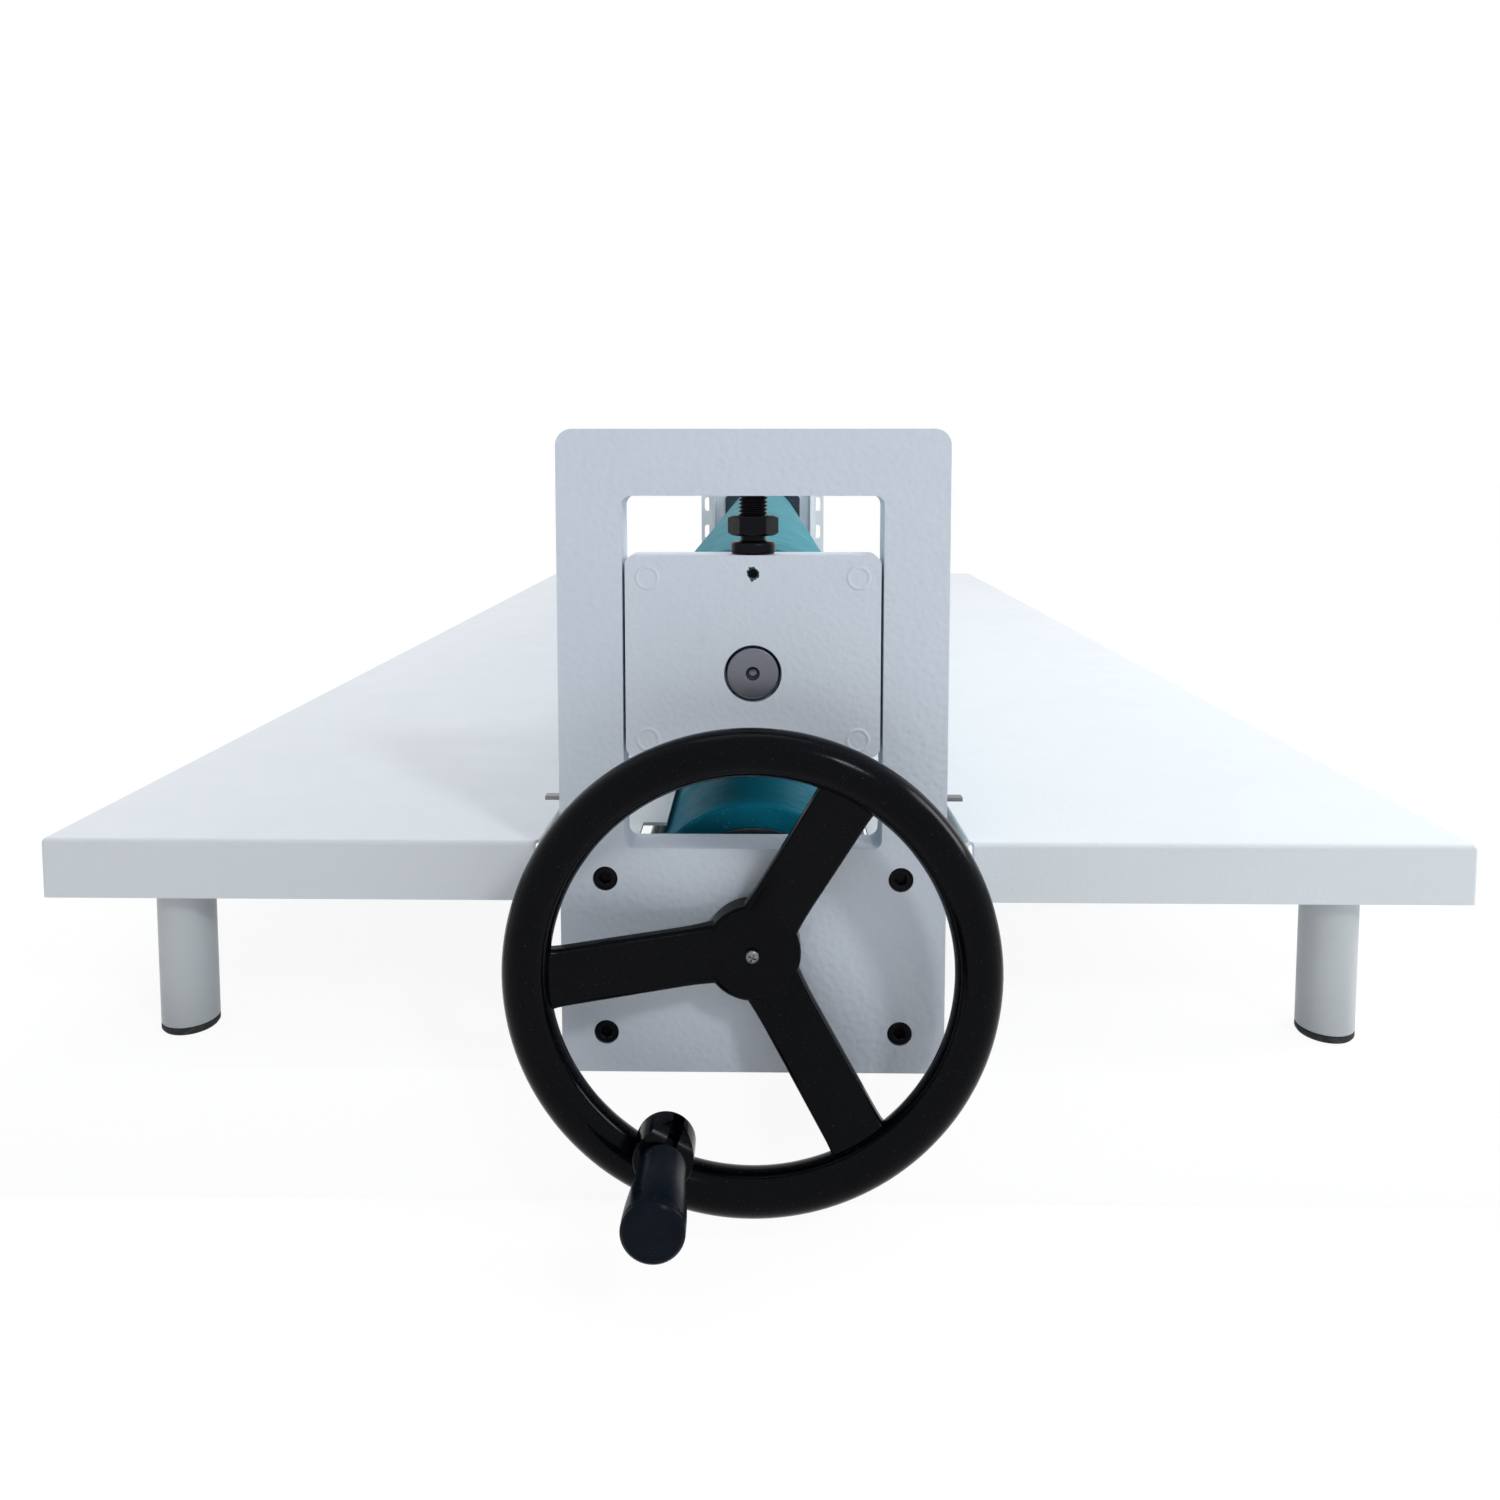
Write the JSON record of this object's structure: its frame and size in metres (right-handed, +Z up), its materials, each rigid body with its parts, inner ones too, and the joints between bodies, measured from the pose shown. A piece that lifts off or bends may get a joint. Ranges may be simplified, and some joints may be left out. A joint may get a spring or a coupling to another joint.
{
  "type": "hand-cranked roller press",
  "caption": "Bench-top hand-cranked roller press: rubber rollers between steel end plates, screw-set nip, folded feed tables on legs, handwheel with fold-away handle.",
  "frame": {"origin": "middle of the underside of the near end plate, on the bench plane", "axes": "+Y along the rollers from the handwheel end to the far end, +Z up, +X to the operator's right"},
  "size_m": [0.816, 1.7864, 0.4055],
  "materials": {
    "frame_paint": "fine-texture grey-white powder coat",
    "table_paint": "off-white textured powder coat",
    "roller_rubber": "ground teal rubber, matt",
    "bright_steel": "turned steel",
    "dark_steel": "blued steel",
    "black_steel": "black oxide",
    "black_plastic": "gloss moulded plastic",
    "foot_rubber": "matt black"
  },
  "bodies": {
    "frame": {"far_end_plate": "frame_paint", "far_left_foot": "foot_rubber", "far_left_high_tie_bolt": "black_steel", "far_left_leg": "table_paint", "far_left_low_tie_bolt": "black_steel", "far_left_slotted_upright": "table_paint", "far_lower_bearing": "bright_steel", "far_lower_bearing_cover": "dark_steel", "far_right_foot": "foot_rubber", "far_right_high_tie_bolt": "black_steel", "far_right_leg": "table_paint", "far_right_low_tie_bolt": "black_steel", "far_right_slotted_upright": "table_paint", "left_high_tie_bar": "bright_steel", "left_low_tie_bar": "bright_steel", "left_table": "table_paint", "near_end_plate": "frame_paint", "near_left_foot": "foot_rubber", "near_left_high_tie_bolt": "black_steel", "near_left_leg": "table_paint", "near_left_low_tie_bolt": "black_steel", "near_left_table_clip": "bright_steel", "near_lower_bearing": "bright_steel", "near_lower_bearing_cover": "dark_steel", "near_right_foot": "foot_rubber", "near_right_high_tie_bolt": "black_steel", "near_right_leg": "table_paint", "near_right_low_tie_bolt": "black_steel", "near_right_table_clip": "bright_steel", "right_high_tie_bar": "bright_steel", "right_low_tie_bar": "bright_steel", "right_table": "table_paint"},
    "lower_roller": {"lower_roller_tube": "bright_steel", "lower_roller_sleeve": "roller_rubber", "lower_near_journal": "bright_steel", "lower_far_journal": "bright_steel", "handwheel": "black_plastic", "wheel_key": "bright_steel", "hub_screw": "bright_steel", "handle_pivot_pin": "bright_steel"},
    "upper_carriage": {"near_bearing_block": "frame_paint", "near_block_keeper": "dark_steel", "near_upper_bearing": "bright_steel", "near_grub_screw": "black_steel", "far_bearing_block": "frame_paint", "far_block_keeper": "dark_steel", "far_upper_bearing": "bright_steel", "far_grub_screw": "black_steel"},
    "upper_roller": {"upper_roller_tube": "bright_steel", "upper_roller_sleeve": "roller_rubber", "upper_near_journal": "bright_steel", "upper_far_journal": "bright_steel"},
    "near_screw": {"near_press_screw": "black_steel"},
    "far_screw": {"far_press_screw": "black_steel"},
    "near_nut": {"near_lock_nut": "black_steel"},
    "far_nut": {"far_lock_nut": "black_steel"},
    "folding_spindle": {"handle_spindle": "bright_steel"},
    "turning_grip": {"handle_grip": "black_plastic", "handle_end_cap": "black_plastic"}
  },
  "joints": [
    {"name": "handwheel_turn", "type": "hinge", "parent": "frame", "child": "lower_roller", "pos_m": [0, 0, 0.075], "axis": [0, 1, 0], "continuous": true},
    {"name": "carriage_lift", "type": "slide", "parent": "frame", "child": "upper_carriage", "axis": [0, 0, 1], "range_m": [-0.0147, 0.01]},
    {"name": "upper_roller_spin", "type": "hinge", "parent": "upper_carriage", "child": "upper_roller", "pos_m": [0, 0, 0.222], "axis": [0, 1, 0], "continuous": true},
    {"name": "near_screw_turn", "type": "hinge", "parent": "upper_carriage", "child": "near_screw", "pos_m": [0, 0, 0.286], "axis": [0, 0, 1], "range_deg": [-2700, 1850]},
    {"name": "far_screw_turn", "type": "hinge", "parent": "upper_carriage", "child": "far_screw", "pos_m": [0, 1.641, 0.286], "axis": [0, 0, 1], "range_deg": [-2700, 1850]},
    {"name": "near_nut_turn", "type": "hinge", "parent": "near_screw", "child": "near_nut", "pos_m": [0, 0, 0.301], "axis": [0, 0, 1], "continuous": true},
    {"name": "far_nut_turn", "type": "hinge", "parent": "far_screw", "child": "far_nut", "pos_m": [0, 1.641, 0.301], "axis": [0, 0, 1], "continuous": true},
    {"name": "handle_fold", "type": "hinge", "parent": "lower_roller", "child": "folding_spindle", "pos_m": [-0.04379, -0.0623, -0.01094], "axis": [-0.891, 0, 0.454], "range_deg": [0, 90]},
    {"name": "grip_spin", "type": "hinge", "parent": "folding_spindle", "child": "turning_grip", "pos_m": [-0.04379, -0.0623, -0.01094], "axis": [0, 1, 0], "continuous": true}
  ],
  "couplings": [
    {"joint": "near_screw_turn", "follows": "carriage_lift", "rad_per_m": 3141.6},
    {"joint": "far_screw_turn", "follows": "carriage_lift", "rad_per_m": 3141.6}
  ]
}
